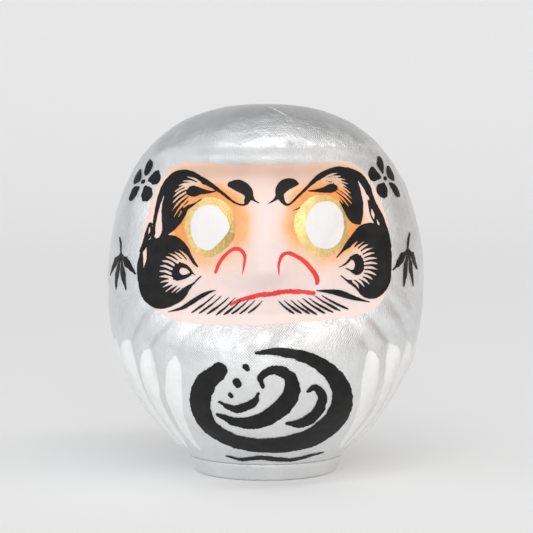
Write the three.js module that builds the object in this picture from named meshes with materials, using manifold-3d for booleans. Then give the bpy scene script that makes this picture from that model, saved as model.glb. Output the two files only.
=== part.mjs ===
// A paper daruma doll: a hollow moulded-pulp shell on a weighted foot, with
// leaf-gilt rings round the eyes. Millimetres, +Z up, the face looks along -Y,
// and the origin is the centre of the underside that the doll stands on.

import * as THREE from 'three';
import { mergeVertices } from 'three/addons/utils/BufferGeometryUtils.js';
import Module from 'manifold-3d';

const wasm = await Module();
wasm.setup();

// Overall sizes of the shell.
const bodyWidth = 146.4;
const bodyDepth = 138;
const totalHeight = 170;
const waistHeight = 82;
const bellyHeight = 60;
const neckRadius = 36.8;
const shellWall = 2;

// How full the outline is: above the waist, at its shoulders, and in the bowl below.
const crownRise = 2.46;
const sideShoulder = 2.4;
const frontShoulder = 4.4;
const backShoulder = 2.3;
const bowlRise = 2.2;
const bowlRound = 1.05;

// The face is a hollow pressed into the front, with rounded corners. Its top is
// measured down from the crown and its bottom up from the floor. Its rim rounds
// over a share of its half size, and more gently at the chin.
const faceHalfWidth = 62;
const faceTopDrop = 23;
const faceBottomHeight = 62;
const faceDepth = 10.5;
const faceRimShare = 0.24;
const faceChinShare = 0.5;

// The hood's lip hangs over the top of the face and turns down at its ends.
const lipRise = 6;
const lipProud = 4;
const lipUnder = 4;
const lipRoll = 12;
const lipHalfLength = 58;
const lipEndDrop = 11;

// Nose, eyes and cheeks stand up from the floor of the face, and their heights
// are measured down from its top.
const noseProud = 6.5;
const noseHalfWidth = 13;
const noseTipDrop = 48;
const bridgeLength = 25;
const noseUnderside = 8.5;
const eyeSpacing = 50;
const eyeDrop = 30;
const eyeProud = 2.6;
const eyeRadius = 14;
const cheekProud = 2.4;
const cheekSpacing = 84;
const cheekDrop = 55;
const cheekRadius = 15;

// Pleats fan out from the lower corners of the face and fall down the belly: each
// has its own angle and depth.
const pleatHalfWidth = 4;
const pleatHeight = 64;
const pleatReachUp = 15;
const pleatReachDown = 26;
const pleatLean = 0.9;
const pleatRows = [
  [-76, 1.4],
  [-61.5, 2.6],
  [-48, 1.9],
  [-35, 0.8],
  [41, 1.2],
  [53, 2.7],
  [67.5, 2.7],
  [80, 1.4],
];

// The gilt rings round the eyes.
const ringOuterWidth = 22.2;
const ringOuterHeight = 25.6;
const ringInnerWidth = 17;
const ringInnerHeight = 19.6;
const leafThickness = 0.3;
const leafClearance = 0.6;

// The foot: a shallow dish, the clay in it, the glue above it and the paper below.
const jointHeight = 8.3;
const jointStep = 0.5;
const footBottomRadius = 33.2;
const dishWall = 2;
const dishFloor = 2;
const paperThickness = 0.6;
const paperMargin = 1.2;
const clayTop = 15;
const glueTop = 11;
const gap = 0.3;

// Grid of the shell.
const columns = 68;
const wallRows = 30;
const crownRows = 8;
const roundSteps = 60;

// Places that follow from the sizes above.
const faceTop = totalHeight - faceTopDrop;
const faceCentreHeight = (faceTop + faceBottomHeight) / 2;
const faceHalfHeight = (faceTop - faceBottomHeight) / 2;
const lipHeight = faceTop + lipRise;
const noseTipHeight = faceTop - noseTipDrop;
const eyeHeight = faceTop - eyeDrop;
const cheekHeight = faceTop - cheekDrop;

const bump = (across, up) => Math.exp(-(across * across) - up * up);

// The outline's half size at a height, widest at the given waist.
function outlineRadius(z, halfSize, waist, shoulder) {
  if (z >= waist) {
    const rise = Math.min((z - waist) / (totalHeight - waist), 1);
    return halfSize * (1 - rise ** crownRise) ** (1 / shoulder);
  }
  const drop = (waist - z) / (waist - jointHeight);
  const closing = 1 - (neckRadius / halfSize) ** bowlRound;
  return halfSize * (1 - closing * drop ** bowlRise) ** (1 / bowlRound);
}

const sideRadius = (z) => outlineRadius(z, bodyWidth / 2, waistHeight, sideShoulder);
const frontRadius = (z) => outlineRadius(z, bodyDepth / 2, bellyHeight, frontShoulder);
const backRadius = (z) => outlineRadius(z, bodyDepth / 2, waistHeight, backShoulder);

function faceHollow(x, z) {
  const across = Math.abs(x / faceHalfWidth);
  const up = (z - faceCentreHeight) / faceHalfHeight;
  const reach = (across ** 4 + up ** 4) ** 0.25;
  const chin = THREE.MathUtils.smoothstep(-up, 0.2, 0.9);
  const rim = THREE.MathUtils.lerp(faceRimShare, faceChinShare, chin);
  const inside = 1 - THREE.MathUtils.smoothstep(reach, 1 - rim, 1);
  return faceDepth * inside * (1 - 0.45 * across * across);
}

function hoodLip(x, z) {
  const along = Math.abs(x) / lipHalfLength;
  const crest = lipHeight - lipEndDrop * along ** 4;
  const ends = 1 - THREE.MathUtils.smoothstep(along, 0.75, 1.1);
  const thickness = z > crest ? lipRoll : lipUnder;
  return lipProud * ends * bump(0, (z - crest) / thickness);
}

function faceFeatures(x, z) {
  const side = Math.abs(x);
  const noseReach = z > noseTipHeight ? bridgeLength : noseUnderside;
  const nose = noseProud * bump(x / noseHalfWidth, (z - noseTipHeight) / noseReach);
  const eye = bump((side - eyeSpacing / 2) / eyeRadius, (z - eyeHeight) / eyeRadius);
  const cheek = bump((side - cheekSpacing / 2) / cheekRadius, (z - cheekHeight) / cheekRadius);
  return nose + eyeProud * eye + cheekProud * cheek;
}

function pleats(angle, radius, z) {
  const above = z - pleatHeight;
  const fade = bump(0, above / (above > 0 ? pleatReachUp : pleatReachDown));
  const lean = pleatLean * Math.max(above, 0);
  let depth = 0;
  for (const [degrees, deep] of pleatRows) {
    const leaned = THREE.MathUtils.degToRad(degrees - Math.sign(degrees) * lean);
    depth += deep * fade * bump(((angle - leaned) * radius) / pleatHalfWidth, 0);
  }
  return depth;
}

// A point of the shell's outer surface: angle 0 is the front, +90 degrees is +X.
function shellPoint(angle, z, proud = 0) {
  const isFront = Math.cos(angle) > 0;
  const halfWidth = sideRadius(z);
  const halfDepth = isFront ? frontRadius(z) : backRadius(z);
  const x = halfWidth * Math.sin(angle);
  const y = -halfDepth * Math.cos(angle);
  let relief = proud;
  if (isFront) {
    const facing = THREE.MathUtils.smoothstep(Math.cos(angle), 0, 0.6);
    relief += hoodLip(x, z) * facing - faceHollow(x, z) - pleats(angle, halfWidth, z);
    relief += faceFeatures(x, z) * (faceHollow(x, z) / faceDepth);
  }
  const outward = new THREE.Vector2(x * halfDepth, y * halfWidth).normalize();
  return new THREE.Vector3(x + outward.x * relief, y + outward.y * relief, z);
}

// Rows climb evenly to the top of the lip, then close in on the crown.
function rowHeights() {
  const wallTop = lipHeight + lipUnder;
  const crownSpan = totalHeight - waistHeight;
  const startTurn = Math.asin(((wallTop - waistHeight) / crownSpan) ** (crownRise / 2));
  const heights = [];
  for (let row = 0; row < wallRows; row += 1) {
    heights.push(jointHeight + ((wallTop - jointHeight) * row) / wallRows);
  }
  for (let row = 0; row < crownRows; row += 1) {
    const turn = startTurn + ((Math.PI / 2 - startTurn) * row) / crownRows;
    heights.push(waistHeight + crownSpan * Math.sin(turn) ** (2 / crownRise));
  }
  return heights;
}

// A closed skin through rings of points, with a point at each end.
function skin(rings, bottom, top) {
  const points = [bottom, ...rings.flat(), top];
  const count = rings[0].length;
  const last = points.length - 1;
  const at = (ring, column) => 1 + ring * count + (column % count);
  const faces = [];
  for (let column = 0; column < count; column += 1) {
    faces.push(0, at(0, column + 1), at(0, column));
    for (let ring = 0; ring < rings.length - 1; ring += 1) {
      const [a, b] = [at(ring, column), at(ring, column + 1)];
      const [c, d] = [at(ring + 1, column + 1), at(ring + 1, column)];
      faces.push(a, b, c, a, c, d);
    }
    faces.push(at(rings.length - 1, column), at(rings.length - 1, column + 1), last);
  }
  const geometry = new THREE.BufferGeometry();
  geometry.setFromPoints(points);
  geometry.setIndex(faces);
  geometry.computeVertexNormals();
  return geometry;
}

function toSolid(geometry) {
  const plain = geometry.clone();
  plain.deleteAttribute('normal');
  plain.deleteAttribute('uv');
  const merged = mergeVertices(plain, 1e-4);
  const vertProperties = new Float32Array(merged.attributes.position.array);
  const triVerts = new Uint32Array(merged.index.array);
  return new wasm.Manifold(new wasm.Mesh({ numProp: 3, vertProperties, triVerts }));
}

function toGeometry(solid) {
  const mesh = solid.getMesh();
  const geometry = new THREE.BufferGeometry();
  geometry.setAttribute('position', new THREE.BufferAttribute(mesh.vertProperties, 3));
  geometry.setIndex(new THREE.BufferAttribute(mesh.triVerts, 1));
  const shaded = geometry.toNonIndexed();
  shaded.computeVertexNormals();
  return shaded;
}

// The column angles crowd towards the front, where the face is.
function columnAngle(column) {
  const turn = ((column + 0.5) / columns) * 2 * Math.PI - Math.PI;
  return turn - 0.3 * Math.sin(turn);
}

function shellRings() {
  return rowHeights().map((z) => {
    const ring = [];
    for (let column = 0; column < columns; column += 1) {
      ring.push(shellPoint(columnAngle(column), z));
    }
    return ring;
  });
}

// The inside follows the outside at the wall's thickness and runs out below the neck.
function cavityRings(outerRings, outerSkin) {
  const normals = outerSkin.attributes.normal;
  const rings = outerRings.map((ring, row) => ring.map((point, column) => {
    const normal = new THREE.Vector3().fromBufferAttribute(normals, 1 + row * columns + column);
    return point.clone().addScaledVector(normal, -shellWall);
  }));
  const neck = rings[0].map((point) => point.clone().setZ(jointHeight + gap));
  const below = neck.map((point) => point.clone().setZ(jointHeight - shellWall));
  return [below, neck, ...rings.slice(1)];
}

function bodyShell() {
  const rings = shellRings();
  const top = new THREE.Vector3(0, 0, totalHeight);
  const outer = skin(rings, new THREE.Vector3(0, 0, jointHeight), top);
  const cavity = cavityRings(rings, outer);
  const cavityBottom = new THREE.Vector3(0, 0, jointHeight - shellWall);
  const cavityTop = new THREE.Vector3(0, 0, totalHeight - shellWall);
  return toGeometry(toSolid(outer).subtract(toSolid(skin(cavity, cavityBottom, cavityTop))));
}

function lathe(outline) {
  const points = outline.map(([radius, z]) => new THREE.Vector2(radius, z));
  const geometry = new THREE.LatheGeometry(points, roundSteps);
  geometry.rotateX(Math.PI / 2);
  return geometry;
}

// Foot radii and levels that its pieces share.
const dishTopRadius = neckRadius - jointStep;
const dishTop = jointHeight - gap;
const dishBottom = paperThickness + gap;
const dishFloorTop = dishBottom + dishFloor;
const footSlope = (dishTopRadius - footBottomRadius) / (dishTop - dishBottom);
const dishRadius = (z) => footBottomRadius + footSlope * (z - dishBottom);
const dishBore = (z) => dishRadius(z) - dishWall;
const clayEdge = dishTop - 1;

function clayDomeRadius(z) {
  const rise = (z - clayEdge) / (clayTop - clayEdge);
  return (dishBore(clayEdge) - gap) * Math.sqrt(1 - rise * rise);
}

function baseDish() {
  return lathe([
    [0, dishBottom],
    [dishRadius(dishBottom), dishBottom],
    [dishTopRadius, dishTop],
    [dishBore(dishTop), dishTop],
    [dishBore(dishFloorTop), dishFloorTop],
    [0, dishFloorTop],
  ]);
}

function clayWeight() {
  const bottom = dishFloorTop + gap;
  const outline = [[0, bottom], [dishBore(bottom) - gap, bottom]];
  const steps = 8;
  for (let step = 0; step < steps; step += 1) {
    const z = clayEdge + (clayTop - clayEdge) * Math.sin(((step / steps) * Math.PI) / 2);
    outline.push([clayDomeRadius(z), z]);
  }
  outline.push([0, clayTop]);
  return lathe(outline);
}

// The bead fills the wedge between the clay's dome and the mouth of the shell.
function glueRing(mouthRadius) {
  const bottom = dishTop + 2 * gap;
  const outline = [[mouthRadius - gap, bottom], [mouthRadius - gap, glueTop]];
  const steps = 4;
  for (let step = 0; step <= steps; step += 1) {
    const z = glueTop + ((bottom - glueTop) * step) / steps;
    outline.push([clayDomeRadius(z) + 2 * gap, z]);
  }
  outline.push(outline[0]);
  return lathe(outline);
}

function bottomPaper() {
  const radius = footBottomRadius - paperMargin;
  return lathe([[0, 0], [radius, 0], [radius, paperThickness], [0, paperThickness]]);
}

// The front surface at a place seen from the front, by closing in on the angle.
function frontPoint(x, z, proud) {
  const halfWidth = sideRadius(z);
  let angle = Math.asin(THREE.MathUtils.clamp(x / halfWidth, -1, 1));
  for (let pass = 0; pass < 6; pass += 1) {
    const miss = x - shellPoint(angle, z, proud).x;
    angle += miss / (halfWidth * Math.cos(angle));
  }
  return shellPoint(angle, z, proud);
}

function eyeRing(side) {
  const steps = 40;
  const loop = (width, height, proud) => {
    const points = [];
    for (let step = 0; step < steps; step += 1) {
      const turn = (step / steps) * 2 * Math.PI;
      const x = side * (eyeSpacing / 2) + (width / 2) * Math.cos(turn);
      points.push(frontPoint(x, eyeHeight + (height / 2) * Math.sin(turn), proud));
    }
    return points;
  };
  const back = leafClearance;
  const front = leafClearance + leafThickness;
  const loops = [
    loop(ringOuterWidth, ringOuterHeight, back),
    loop(ringOuterWidth, ringOuterHeight, front),
    loop(ringInnerWidth, ringInnerHeight, front),
    loop(ringInnerWidth, ringInnerHeight, back),
  ];
  const at = (ring, step) => (ring % loops.length) * steps + (step % steps);
  const faces = [];
  for (let ring = 0; ring < loops.length; ring += 1) {
    for (let step = 0; step < steps; step += 1) {
      const [a, b] = [at(ring, step), at(ring, step + 1)];
      const [c, d] = [at(ring + 1, step + 1), at(ring + 1, step)];
      faces.push(a, b, c, a, c, d);
    }
  }
  const geometry = new THREE.BufferGeometry();
  geometry.setFromPoints(loops.flat());
  geometry.setIndex(faces);
  geometry.computeVertexNormals();
  return geometry;
}

const silverPaint = { color: 0xbfc0c2, roughness: 0.42, metalness: 0.75 };
const goldLeaf = { color: 0xc9a548, roughness: 0.35, metalness: 0.9 };
const clay = { color: 0x9a7a5a, roughness: 0.95, metalness: 0 };
const glue = { color: 0xd8cfae, roughness: 0.6, metalness: 0 };
const paper = { color: 0xe6e1d4, roughness: 0.9, metalness: 0 };

function piece(name, geometry, look) {
  const mesh = new THREE.Mesh(geometry, new THREE.MeshStandardMaterial(look));
  mesh.name = name;
  return mesh;
}

// The mouth of the shell, inside its wall at the neck.
const shell = bodyShell();
const mouthRadius = neckRadius - shellWall;

const daruma = new THREE.Group();
daruma.add(piece('body_shell', shell, silverPaint));
daruma.add(piece('gilt_ring_left', eyeRing(-1), goldLeaf));
daruma.add(piece('gilt_ring_right', eyeRing(1), goldLeaf));
daruma.add(piece('base_dish', baseDish(), silverPaint));
daruma.add(piece('clay_weight', clayWeight(), clay));
daruma.add(piece('glue_ring', glueRing(mouthRadius), glue));
daruma.add(piece('bottom_paper', bottomPaper(), paper));

export default daruma;
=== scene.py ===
# A silver paper daruma doll on a pale sweep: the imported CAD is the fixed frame,
# the shell and foot are rebuilt finely round it, and the paint lies on them.
import math

import bpy
import numpy as np
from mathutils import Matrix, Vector


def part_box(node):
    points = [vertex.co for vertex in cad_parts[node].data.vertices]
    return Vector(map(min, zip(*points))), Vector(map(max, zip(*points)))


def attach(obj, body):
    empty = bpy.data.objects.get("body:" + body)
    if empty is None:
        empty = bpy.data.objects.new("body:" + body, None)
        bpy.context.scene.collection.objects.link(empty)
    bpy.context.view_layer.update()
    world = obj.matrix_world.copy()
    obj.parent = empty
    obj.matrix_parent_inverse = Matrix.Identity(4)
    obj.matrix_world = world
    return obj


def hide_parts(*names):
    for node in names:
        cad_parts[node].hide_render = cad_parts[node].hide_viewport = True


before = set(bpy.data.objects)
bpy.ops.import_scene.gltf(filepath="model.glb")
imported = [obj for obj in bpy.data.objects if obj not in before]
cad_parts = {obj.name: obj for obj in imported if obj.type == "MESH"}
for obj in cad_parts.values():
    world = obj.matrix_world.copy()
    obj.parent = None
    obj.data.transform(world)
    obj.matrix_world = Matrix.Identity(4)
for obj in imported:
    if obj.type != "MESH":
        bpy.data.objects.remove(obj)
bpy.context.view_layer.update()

MM = 0.001


# ------------------------ the frame's sizes, in mm

def box_mm(node):
    low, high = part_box(node)
    return np.array(low) / MM, np.array(high) / MM


shell_low, shell_high = box_mm("body_shell")
foot_low, foot_high = box_mm("base_dish")
paper_low, paper_high = box_mm("bottom_paper")

BODY_WIDTH = shell_high[0] - shell_low[0]
BODY_DEPTH = shell_high[1] - shell_low[1]
TOTAL_HEIGHT = shell_high[2]
JOINT_HEIGHT = shell_low[2]
FOOT_TOP_RADIUS = (foot_high[0] - foot_low[0]) / 2
JOINT_STEP = 0.25
NECK_RADIUS = FOOT_TOP_RADIUS + JOINT_STEP
PAPER_INSET = 1.2
FOOT_BOTTOM_RADIUS = (paper_high[0] - paper_low[0]) / 2 + PAPER_INSET
WAIST_HEIGHT = 82
BELLY_HEIGHT = 60
SHELL_WALL = 2
MOUTH_DEPTH = 4
SCREEN_PITCH = 1.3

# How full the outline is.
CROWN_RISE = 2.46
SIDE_SHOULDER = 2.4
FRONT_SHOULDER = 4.4
BACK_SHOULDER = 2.3
BOWL_RISE = 2.2
BOWL_ROUND = 1.05

# The hollow of the face, and what stands up in it.
FACE_HALF_WIDTH = 62
FACE_TOP = TOTAL_HEIGHT - 23
FACE_BOTTOM = 62
FACE_DEPTH = 10.5
FACE_RIM_SHARE = 0.24
FACE_CHIN_SHARE = 0.5
FACE_SIDE_EASE = 0.45
LIP_HEIGHT = FACE_TOP + 6
LIP_PROUD = 4
LIP_UNDER = 4
LIP_ROLL = 12
LIP_HALF_LENGTH = 58
LIP_END_DROP = 11
NOSE_PROUD = 6.5
NOSE_HALF_WIDTH = 13
NOSE_TIP = FACE_TOP - 48
BRIDGE_LENGTH = 25
NOSE_UNDERSIDE = 8.5
EYE_X = 25
EYE_Z = FACE_TOP - 30
EYE_PROUD = 2.6
EYE_RADIUS = 14
CHEEK_PROUD = 2.4
CHEEK_X = 42
CHEEK_Z = FACE_TOP - 55
CHEEK_RADIUS = 15
PLEAT_HALF_WIDTH = 4
PLEAT_HEIGHT = 64
PLEAT_REACH_UP = 15
PLEAT_REACH_DOWN = 26
PLEAT_LEAN = 0.9
PLEATS = ((-76, 1.4), (-61.5, 2.6), (-48, 1.9), (-35, 0.8), (41, 1.2), (53, 2.7), (67.5, 2.7),
          (80, 1.4))


# ------------------------ the shell's surface

def smoothstep(value, low, high):
    t = np.clip((value - low) / (high - low), 0, 1)
    return t * t * (3 - 2 * t)


def bump(across, up):
    return np.exp(-across ** 2 - up ** 2)


def outline_radius(z, half_size, waist, shoulder):
    rise = np.clip((z - waist) / (TOTAL_HEIGHT - waist), 0, 1)
    drop = np.clip((waist - z) / (waist - JOINT_HEIGHT), 0, 1)
    closing = 1 - (NECK_RADIUS / half_size) ** BOWL_ROUND
    upper = (1 - rise ** CROWN_RISE) ** (1 / shoulder)
    lower = (1 - closing * drop ** BOWL_RISE) ** (1 / BOWL_ROUND)
    return half_size * np.where(z >= waist, upper, lower)


def side_radius(z):
    return outline_radius(z, BODY_WIDTH / 2, WAIST_HEIGHT, SIDE_SHOULDER)


def face_hollow(x, z):
    half_height = (FACE_TOP - FACE_BOTTOM) / 2
    across = np.abs(x / FACE_HALF_WIDTH)
    up = (z - FACE_BOTTOM - half_height) / half_height
    reach = (across ** 4 + up ** 4) ** 0.25
    chin = smoothstep(-up, 0.2, 0.9)
    rim = FACE_RIM_SHARE + (FACE_CHIN_SHARE - FACE_RIM_SHARE) * chin
    inside = 1 - smoothstep(reach, 1 - rim, 1)
    return inside * (1 - FACE_SIDE_EASE * across ** 2)


def hood_lip(x, z):
    along = np.abs(x) / LIP_HALF_LENGTH
    crest = LIP_HEIGHT - LIP_END_DROP * along ** 4
    ends = 1 - smoothstep(along, 0.75, 1.1)
    thickness = np.where(z > crest, LIP_ROLL, LIP_UNDER)
    return LIP_PROUD * ends * bump(0, (z - crest) / thickness)


def face_features(x, z):
    side = np.abs(x)
    nose_reach = np.where(z > NOSE_TIP, BRIDGE_LENGTH, NOSE_UNDERSIDE)
    nose = NOSE_PROUD * bump(x / NOSE_HALF_WIDTH, (z - NOSE_TIP) / nose_reach)
    eye = EYE_PROUD * bump((side - EYE_X) / EYE_RADIUS, (z - EYE_Z) / EYE_RADIUS)
    cheek = CHEEK_PROUD * bump((side - CHEEK_X) / CHEEK_RADIUS, (z - CHEEK_Z) / CHEEK_RADIUS)
    return nose + eye + cheek


def pleats(angle, radius, z):
    above = z - PLEAT_HEIGHT
    fade = bump(0, above / np.where(above > 0, PLEAT_REACH_UP, PLEAT_REACH_DOWN))
    lean = PLEAT_LEAN * np.maximum(above, 0)
    depth = 0
    for degrees, deep in PLEATS:
        leaned = np.radians(degrees - math.copysign(1, degrees) * lean)
        depth = depth + deep * fade * bump((angle - leaned) * radius / PLEAT_HALF_WIDTH, 0)
    return depth


# Soft unevenness of hand-finished pulp: waves of a few lengths in fixed random directions.
# Each set is (length in mm, height in mm, how many waves).
wave_draws = np.random.default_rng(7)
WAVE_SETS = []
for length, height, count in ((38, 0.35, 7), (15, 0.18, 12), (6, 0.06, 16)):
    directions = wave_draws.normal(size=(count, 3))
    directions /= np.linalg.norm(directions, axis=1)[:, None]
    turns = directions * (2 * math.pi / length) * wave_draws.uniform(0.75, 1.3, (count, 1))
    phases = wave_draws.uniform(0, 2 * math.pi, count)
    WAVE_SETS.append((turns, phases, height / math.sqrt(count)))


def unevenness(x, y, z):
    place = np.stack([x, y, z], axis=-1)
    total = np.zeros(np.shape(x))
    for turns, phases, height in WAVE_SETS:
        total = total + height * np.sin(place @ turns.T + phases).sum(axis=-1)
    return total


def shell_point(angle, z, proud=0.0):
    """Points of the outer surface in mm: angle 0 is the front, +90 degrees is +X."""
    angle, z = np.broadcast_arrays(np.asarray(angle, float), np.asarray(z, float))
    front = np.cos(angle) > 0
    half_width = side_radius(z)
    half_front = outline_radius(z, BODY_DEPTH / 2, BELLY_HEIGHT, FRONT_SHOULDER)
    half_back = outline_radius(z, BODY_DEPTH / 2, WAIST_HEIGHT, BACK_SHOULDER)
    half_depth = np.where(front, half_front, half_back)
    x = half_width * np.sin(angle)
    y = -half_depth * np.cos(angle)
    hollow = face_hollow(x, z)
    facing = smoothstep(np.cos(angle), 0, 0.6)
    relief = hood_lip(x, z) * facing - FACE_DEPTH * hollow - pleats(angle, half_width, z)
    relief = np.where(front, relief + face_features(x, z) * hollow, 0) + proud
    relief = relief + unevenness(x, y, z) * smoothstep(z, JOINT_HEIGHT, JOINT_HEIGHT + 6)
    out_x = x * half_depth
    out_y = y * half_width
    size = np.maximum(np.hypot(out_x, out_y), 1e-9)
    return np.stack([x + out_x / size * relief, y + out_y / size * relief, z], axis=-1)


# ------------------------ meshes

def make_object(name, points, faces, material):
    mesh = bpy.data.meshes.new(name)
    mesh.from_pydata((np.asarray(points) * MM).tolist(), [], faces)
    mesh.validate()
    mesh.shade_smooth()
    mesh.set_sharp_from_angle(angle=math.radians(40))
    mesh.materials.append(material)
    piece = bpy.data.objects.new(name, mesh)
    bpy.context.scene.collection.objects.link(piece)
    return piece


def add_attribute(piece, name, values):
    attribute = piece.data.attributes.new(name, "FLOAT", "POINT")
    attribute.data.foreach_set("value", np.asarray(values, dtype=np.float32))


def places_mm(piece):
    places = np.zeros(len(piece.data.vertices) * 3)
    piece.data.vertices.foreach_get("co", places)
    return places.reshape(-1, 3) / MM


def revolve_rings(rings):
    """Quads between closed rings of points, each ring a list of indices."""
    faces = []
    for low, high in zip(rings, rings[1:]):
        for a, b, c, d in zip(low, np.roll(low, -1), np.roll(high, -1), high):
            faces.append((int(a), int(b), int(c), int(d)))
    return faces


def fan(ring, centre):
    """Triangles from a ring of points to one centre point."""
    return [(int(a), int(b), centre) for a, b in zip(ring, np.roll(ring, -1))]


def shell_heights(spacing):
    """Heights of rows that lie evenly along the outline from neck to crown."""
    turn = np.linspace(0, math.pi / 2, 600)
    upper = WAIST_HEIGHT + (TOTAL_HEIGHT - WAIST_HEIGHT) * np.sin(turn) ** (2 / CROWN_RISE)
    z = np.concatenate([np.linspace(JOINT_HEIGHT, WAIST_HEIGHT, 300)[:-1], upper])
    radius = side_radius(z)
    along = np.concatenate([[0], np.cumsum(np.hypot(np.diff(z), np.diff(radius)))])
    rows = int(along[-1] / spacing)
    return np.interp(np.linspace(0, along[-1], rows + 1), along, z)


def add_weave_map(mesh, points):
    """A map in turns of the screen's weave: girth across and height up."""
    corners = np.zeros(len(mesh.loops), dtype=np.int32)
    mesh.loops.foreach_get("vertex_index", corners)
    place = np.asarray(points)[corners]
    girth = np.arctan2(place[:, 0], -place[:, 1]) * BODY_WIDTH / 2
    weave = np.stack([girth, place[:, 2]], axis=1) * (2 * math.pi / SCREEN_PITCH)
    layer = mesh.uv_layers.new(name="cloth")
    layer.data.foreach_set("uv", weave.astype(np.float32).ravel())


def screen_marks(places):
    """Where the wire screen's weave shows: on the hood's lip and the top of the belly."""
    lip = bump(0, (places[:, 2] - LIP_HEIGHT) / 8)
    belly = bump(places[:, 0] / 55, (places[:, 2] - 66) / 10)
    return np.clip(np.where(places[:, 1] < 0, lip + belly, lip * 0.5) + 0.12, 0, 1)


def body_shell(material):
    """The silver shell down to its mouth, which is closed a little way up inside."""
    spacing = 1.1
    columns = int(2 * math.pi * BODY_WIDTH / 2 / spacing)
    angles = np.arange(columns) / columns * 2 * math.pi - math.pi
    heights = shell_heights(spacing)[:-1]
    points = shell_point(angles[None, :], heights[:, None]).reshape(-1, 3)
    rings = [np.arange(columns) + row * columns for row in range(len(heights))]
    faces = revolve_rings(rings)
    crown = len(points)
    mouth = np.stack([np.sin(angles), -np.cos(angles), angles * 0], axis=1)
    mouth = mouth * (NECK_RADIUS - SHELL_WALL) + [0, 0, JOINT_HEIGHT]
    points = np.vstack([points, [[0, 0, TOTAL_HEIGHT]], mouth, mouth + [0, 0, MOUTH_DEPTH],
                        [[0, 0, JOINT_HEIGHT + MOUTH_DEPTH]]])
    lip_ring = np.arange(columns) + crown + 1
    inside_ring = lip_ring + columns
    centre = crown + 1 + 2 * columns
    faces += revolve_rings([inside_ring, lip_ring, rings[0]])
    faces += fan(rings[-1], crown) + fan(inside_ring[::-1], centre)
    piece = make_object("painted_shell", points, faces, material)
    add_attribute(piece, "screen", screen_marks(points))
    add_weave_map(piece.data, points)
    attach(piece, "root")
    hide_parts("body_shell")


# ------------------------ brushwork

FAR = 1000.0

# How far each coat stands off the shell, and how deep its turned-down edge goes, in mm.
LIFT_SKIN = 0.08
LIFT_LEAF = 0.16
LIFT_WHITE = 0.22
LIFT_RED = 0.2
LIFT_INK = 0.28
LIFT_WHISKERS = 0.32
LIFT_BEARD = 0.33
LIFT_PIPS = 0.5
SUNK = -0.25

# How far the gilt leaf runs in under the white of the eye.
LEAF_OVERLAP = 0.5

# The shell's angle at each place seen from the front, for paint that is drawn straight on.
CHART_X = np.arange(-67, 67.5, 1.0)
CHART_Z = np.arange(9, 160.5, 1.0)
CHART_TURN = np.radians(np.linspace(-80, 80, 321))
CHART_ANGLE = np.array([np.interp(CHART_X, shell_point(CHART_TURN, z)[:, 0], CHART_TURN)
                        for z in CHART_Z])


def front_chart(u, v):
    """Paint seen straight from the front: u is X and v is Z, both in mm."""
    column = np.clip(u - CHART_X[0], 0, len(CHART_X) - 1.001)
    row = np.clip(v - CHART_Z[0], 0, len(CHART_Z) - 1.001)
    i, j = column.astype(int), row.astype(int)
    s, t = column - i, row - j
    low = CHART_ANGLE[j, i] * (1 - s) + CHART_ANGLE[j, i + 1] * s
    high = CHART_ANGLE[j + 1, i] * (1 - s) + CHART_ANGLE[j + 1, i + 1] * s
    return low * (1 - t) + high * t, v


def wrap_chart(centre_degrees, centre_height=0.0):
    """Paint that wraps round the side: u runs along the girth and v up, both in mm."""
    def chart(u, v):
        return math.radians(centre_degrees) + u / (BODY_WIDTH / 2), centre_height + v
    return chart


def curve(points, closed=False, steps=8):
    """A smooth (Catmull-Rom) curve through points that may carry a width as third value."""
    points = np.array(points, float)
    if closed:
        around = np.vstack([points[-1:], points, points[:2]])
    else:
        around = np.vstack([2 * points[0] - points[1], points, 2 * points[-1] - points[-2]])
    t = np.arange(steps)[:, None] / steps
    path = []
    for a, b, c, d in zip(around, around[1:], around[2:], around[3:]):
        cubic = (3 * b - a - 3 * c + d) * t ** 3
        path.append((2 * b + (c - a) * t + (2 * a - 5 * b + 4 * c - d) * t ** 2 + cubic) / 2)
    if not closed:
        path.append(points[-1:])
    path = np.vstack(path)
    if path.shape[1] > 2:
        path[:, 2] = np.maximum(path[:, 2], 0.1)
    return path


def point_along(points, share):
    """The point at a share of a smooth curve's length."""
    path = curve(points)
    length = np.concatenate([[0], np.cumsum(np.hypot(*np.diff(path[:, :2], axis=0).T))])
    return np.array([np.interp(share * length[-1], length, path[:, k]) for k in (0, 1)])


def nearest_on(start, end, u, v):
    """How far along a segment its nearest point lies, as a share, and how far away it is."""
    du, dv = end[0] - start[0], end[1] - start[1]
    share = ((u - start[0]) * du + (v - start[1]) * dv) / max(du * du + dv * dv, 1e-9)
    share = np.clip(share, 0, 1)
    return share, np.hypot(u - start[0] - share * du, v - start[1] - share * dv)


def ripple(u, v, seed):
    """The waver of a hand-held brush's edge, in mm: three wavelengths, each with its size."""
    draws = np.random.default_rng(seed)
    total = np.zeros(np.shape(u))
    for length, size in ((4.2, 0.10), (1.9, 0.06), (0.9, 0.035)):
        for turn in draws.uniform(0, 2 * math.pi, 5):
            phase = draws.uniform(0, 2 * math.pi)
            pitch = length * draws.uniform(0.7, 1.4)
            total = total + size / 2 * np.sin(
                (u * math.cos(turn) + v * math.sin(turn)) * 2 * math.pi / pitch + phase)
    return total


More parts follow.
